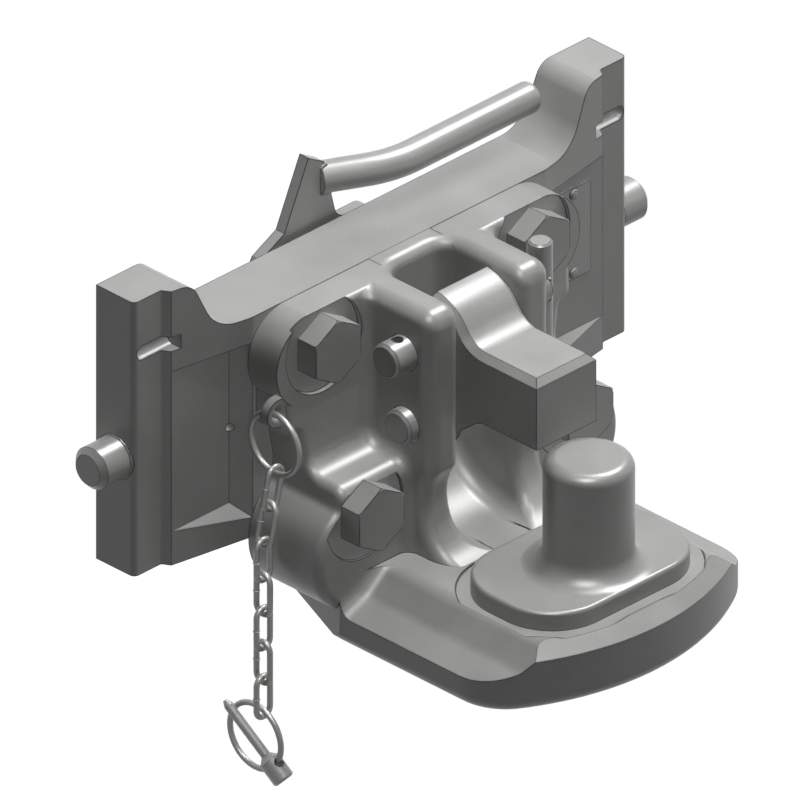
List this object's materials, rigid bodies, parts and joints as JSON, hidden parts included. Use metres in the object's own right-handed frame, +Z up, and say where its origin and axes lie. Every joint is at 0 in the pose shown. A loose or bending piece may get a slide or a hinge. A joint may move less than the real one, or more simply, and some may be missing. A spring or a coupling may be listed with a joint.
{
  "type": "pintle hook",
  "caption": "Height-adjustable pintle hook on a slide plate, with an upright towing pin, a hold-down locked by a forked pin, sprung side locking pins with a handle, and a linch pin on a chain.",
  "frame": {"origin": "middle of the slide plate's flat rear face, halfway between its rails and halfway up", "axes": "+X to the right seen from the front, along the plate's width; -Y forward, out of the plate towards the towing pin; +Z up"},
  "size_m": [0.367, 0.2347, 0.2779],
  "materials": {
    "cast_steel": "satin",
    "plate_steel": "satin",
    "pin_steel": "satin",
    "bolt_steel": "satin",
    "zinc_wire": "satin",
    "spring_steel": "satin",
    "label_aluminium": "satin"
  },
  "bodies": {
    "carrier": {"slide_plate": "plate_steel", "name_plate": "label_aluminium", "name_plate_rivets": "label_aluminium", "hook_foot": "cast_steel", "slot_web": "cast_steel", "left_cheek": "cast_steel", "right_cheek": "cast_steel", "ring_lug": "cast_steel", "upper_mounting_bolts": "bolt_steel", "lower_mounting_bolts": "bolt_steel", "hitch_pin": "pin_steel", "hitch_washer": "bolt_steel", "hitch_nut": "bolt_steel", "hold_down": "cast_steel", "left_pin_spring": "spring_steel", "right_pin_spring": "spring_steel", "lever_spacer": "bolt_steel", "lever_washer": "bolt_steel", "lever_pivot_bolt": "bolt_steel"},
    "lever": {"cam_lever": "plate_steel", "handle_rod": "pin_steel"},
    "left_pin": {"left_side_pin": "pin_steel", "left_cam_stud": "bolt_steel"},
    "right_pin": {"right_side_pin": "pin_steel", "right_cam_stud": "bolt_steel"},
    "fork": {"upper_fork_pin": "pin_steel", "lower_fork_pin": "pin_steel", "fork_bar": "pin_steel"},
    "chain_ring": {"chain_ring": "zinc_wire"},
    "linch_ring": {"linch_ring": "zinc_wire"},
    "linch_pin": {"linch_pin": "zinc_wire"},
    "chain_link_1": {"chain_link_1": "zinc_wire"},
    "chain_link_2": {"chain_link_2": "zinc_wire"},
    "chain_link_3": {"chain_link_3": "zinc_wire"},
    "chain_link_4": {"chain_link_4": "zinc_wire"},
    "chain_link_5": {"chain_link_5": "zinc_wire"},
    "chain_link_6": {"chain_link_6": "zinc_wire"},
    "chain_link_7": {"chain_link_7": "zinc_wire"}
  },
  "joints": [
    {"name": "handle_turn", "type": "hinge", "parent": "carrier", "child": "lever", "pos_m": [0, 0.0065, -0.014], "axis": [0, -1, 0], "range_deg": [0, 27], "stiffness_Nm_per_rad": 6, "springref_deg": -28.65},
    {"name": "left_pin_slide", "type": "slide", "parent": "carrier", "child": "left_pin", "axis": [1, 0, 0], "range_m": [0, 0.019], "deforming": ["left_pin_spring"]},
    {"name": "right_pin_slide", "type": "slide", "parent": "carrier", "child": "right_pin", "axis": [-1, 0, 0], "range_m": [0, 0.019], "deforming": ["right_pin_spring"]},
    {"name": "fork_pull", "type": "slide", "parent": "carrier", "child": "fork", "axis": [1, 0, 0], "range_m": [0, 0.086]},
    {"name": "chain_ring_swing", "type": "hinge", "parent": "carrier", "child": "chain_ring", "pos_m": [-0.101, -0.056, -0.00335], "axis": [1, 0, 0], "range_deg": [-30, 4]},
    {"name": "link_1_swing", "type": "hinge", "parent": "chain_ring", "child": "chain_link_1", "pos_m": [-0.101, -0.056, -0.0314], "axis": [0, 1, 0], "range_deg": [0, 35]},
    {"name": "link_2_swing", "type": "hinge", "parent": "chain_link_1", "child": "chain_link_2", "pos_m": [-0.105, -0.056, -0.04967], "axis": [0.9769, 0, -0.2139], "range_deg": [-30, 10]},
    {"name": "link_3_swing", "type": "hinge", "parent": "chain_link_2", "child": "chain_link_3", "pos_m": [-0.109, -0.056, -0.06793], "axis": [0, 1, 0], "range_deg": [0, 35]},
    {"name": "link_4_swing", "type": "hinge", "parent": "chain_link_3", "child": "chain_link_4", "pos_m": [-0.109, -0.056, -0.08663], "axis": [1, 0, 0], "range_deg": [-30, 20]},
    {"name": "link_5_swing", "type": "hinge", "parent": "chain_link_4", "child": "chain_link_5", "pos_m": [-0.109, -0.056, -0.10533], "axis": [0, 1, 0], "range_deg": [-10, 35]},
    {"name": "link_6_swing", "type": "hinge", "parent": "chain_link_5", "child": "chain_link_6", "pos_m": [-0.109, -0.056, -0.12403], "axis": [1, 0, 0], "range_deg": [-30, 30]},
    {"name": "link_7_swing", "type": "hinge", "parent": "chain_link_6", "child": "chain_link_7", "pos_m": [-0.109, -0.056, -0.14273], "axis": [0, 1, 0], "range_deg": [-20, 35]},
    {"name": "linch_ring_swing", "type": "hinge", "parent": "chain_link_7", "child": "linch_ring", "pos_m": [-0.109, -0.056, -0.16143], "axis": [1, 0, 0], "range_deg": [-40, 40]},
    {"name": "linch_pin_open", "type": "hinge", "parent": "linch_ring", "child": "linch_pin", "pos_m": [-0.109, -0.06315, -0.18579], "axis": [0, -0.6871, 0.7266], "range_deg": [0, 120]}
  ],
  "couplings": [
    {"joint": "left_pin_slide", "follows": "handle_turn", "m_per_rad": 0.040319},
    {"joint": "right_pin_slide", "follows": "handle_turn", "m_per_rad": 0.040319}
  ]
}
